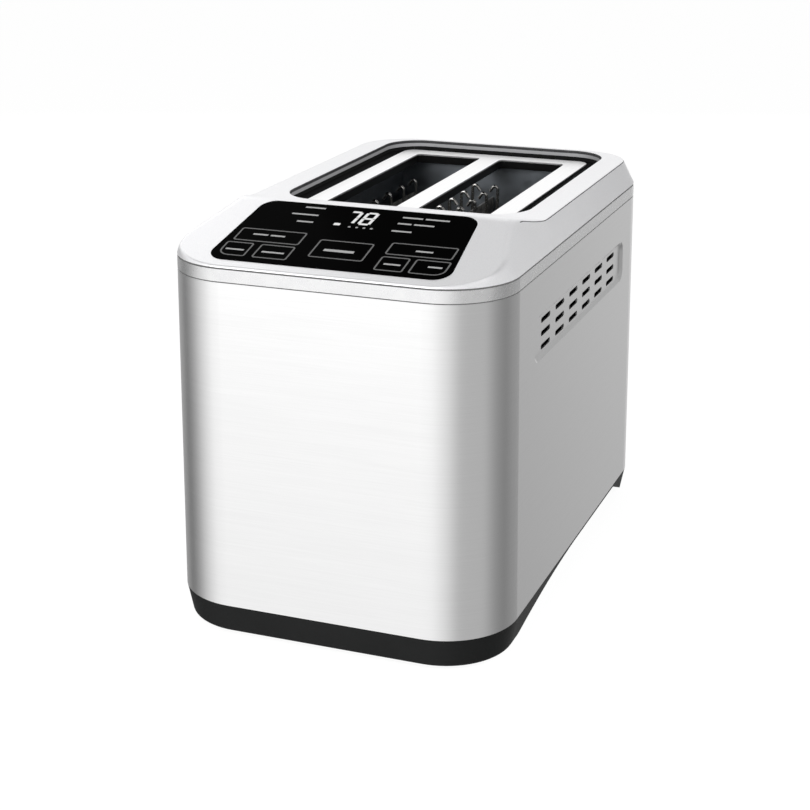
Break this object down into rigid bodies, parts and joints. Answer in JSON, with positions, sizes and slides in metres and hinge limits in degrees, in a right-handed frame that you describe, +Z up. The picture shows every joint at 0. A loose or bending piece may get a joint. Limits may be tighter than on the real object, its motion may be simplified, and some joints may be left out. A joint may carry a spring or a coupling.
{
  "type": "toaster",
  "caption": "Bread toaster with a brushed steel wrap, a sloped black touch panel, motor-lifted bread racks, closing wire guards and a crumb tray that slides out at the rear.",
  "frame": {"origin": "on the floor, under the middle of the body", "axes": "+Z up, the touch panel's end faces -Y, +X is to the right seen from that end"},
  "size_m": [0.175, 0.285, 0.208],
  "materials": {
    "brushed_stainless": "brushed, satin",
    "silver_plastic": "silver paint, satin",
    "black_glass": "polished, printed black behind",
    "black_enamel": "semi-gloss black",
    "bright_steel": "fine satin",
    "black_plastic": "moulded, fine grain",
    "black_rubber": "matte",
    "aluminised_sheet": "mill finish",
    "mica": "layered, matte",
    "heating_ribbon": "oxidised",
    "plated_wire": "bright plated",
    "white_acetal": "moulded",
    "motor_can": "drawn, plated",
    "circuit_board": "solder mask",
    "display_plastic": "moulded",
    "capacitor_sleeve": "shrunk sleeve",
    "fuse_ceramic": "glazed",
    "zinc_screw": "zinc plated"
  },
  "bodies": {
    "housing": {"steel_wrap": "brushed_stainless", "trim_band": "silver_plastic", "top_cover": "silver_plastic", "control_glass": "black_glass", "slot_frame": "black_enamel", "slot_plate": "bright_steel", "base": "black_plastic", "cord_gland": "black_plastic", "terminal_block": "black_plastic", "gearbox": "black_plastic", "limit_switches": "black_plastic", "power_relay": "black_plastic", "base_feet": "black_rubber", "touch_pads": "black_rubber", "front_bulkhead": "aluminised_sheet", "rear_bulkhead": "aluminised_sheet", "reflector_left": "aluminised_sheet", "reflector_right": "aluminised_sheet", "lift_frame": "aluminised_sheet", "heater_board_left": "mica", "heater_board_centre": "mica", "heater_board_right": "mica", "heater_ribbon_left": "heating_ribbon", "heater_ribbon_centre": "heating_ribbon", "heater_ribbon_right": "heating_ribbon", "guide_rods": "plated_wire", "lift_motor": "motor_can", "control_board": "circuit_board", "power_board": "circuit_board", "display_module": "display_plastic", "filter_capacitor": "capacitor_sleeve", "thermal_fuse": "fuse_ceramic", "frame_screws": "zinc_screw", "board_screws": "zinc_screw", "bulkhead_screws": "zinc_screw", "gearbox_screws": "zinc_screw", "power_board_screws": "zinc_screw"},
    "crumb_drawer": {"crumb_tray": "aluminised_sheet", "crumb_tray_handle": "black_plastic"},
    "carriage": {"carriage_plate": "aluminised_sheet", "bread_rack_left": "plated_wire", "bread_rack_right": "plated_wire", "guide_bushes": "white_acetal", "lift_rack": "white_acetal"},
    "pinion": {"drive_pinion": "white_acetal"},
    "guard_left_outer": {"bread_guard_left_outer": "plated_wire"},
    "guard_left_inner": {"bread_guard_left_inner": "plated_wire"},
    "guard_right_inner": {"bread_guard_right_inner": "plated_wire"},
    "guard_right_outer": {"bread_guard_right_outer": "plated_wire"}
  },
  "joints": [
    {"name": "carriage_slide", "type": "slide", "parent": "housing", "child": "carriage", "axis": [0, 0, 1], "range_m": [-0.065, 0]},
    {"name": "pinion_spin", "type": "hinge", "parent": "housing", "child": "pinion", "pos_m": [0.0092, -0.0454, 0.096], "axis": [0, 1, 0], "range_deg": [-466, 0]},
    {"name": "crumb_drawer_slide", "type": "slide", "parent": "housing", "child": "crumb_drawer", "axis": [0, 1, 0], "range_m": [0, 0.16]},
    {"name": "guard_left_outer_hinge", "type": "hinge", "parent": "housing", "child": "guard_left_outer", "pos_m": [-0.04275, 0.0404, 0.044], "axis": [0, 1, 0], "range_deg": [0, 4.6]},
    {"name": "guard_left_inner_hinge", "type": "hinge", "parent": "housing", "child": "guard_left_inner", "pos_m": [-0.00755, 0.0404, 0.044], "axis": [0, 1, 0], "range_deg": [-4.6, 0]},
    {"name": "guard_right_inner_hinge", "type": "hinge", "parent": "housing", "child": "guard_right_inner", "pos_m": [0.00755, 0.0404, 0.044], "axis": [0, 1, 0], "range_deg": [0, 4.6]},
    {"name": "guard_right_outer_hinge", "type": "hinge", "parent": "housing", "child": "guard_right_outer", "pos_m": [0.04275, 0.0404, 0.044], "axis": [0, 1, 0], "range_deg": [-4.6, 0]}
  ],
  "couplings": [
    {"joint": "pinion_spin", "follows": "carriage_slide", "rad_per_m": 125},
    {"joint": "guard_left_outer_hinge", "follows": "carriage_slide", "rad_per_m": -1.23},
    {"joint": "guard_left_inner_hinge", "follows": "carriage_slide", "rad_per_m": 1.23},
    {"joint": "guard_right_inner_hinge", "follows": "carriage_slide", "rad_per_m": -1.23},
    {"joint": "guard_right_outer_hinge", "follows": "carriage_slide", "rad_per_m": 1.23}
  ]
}
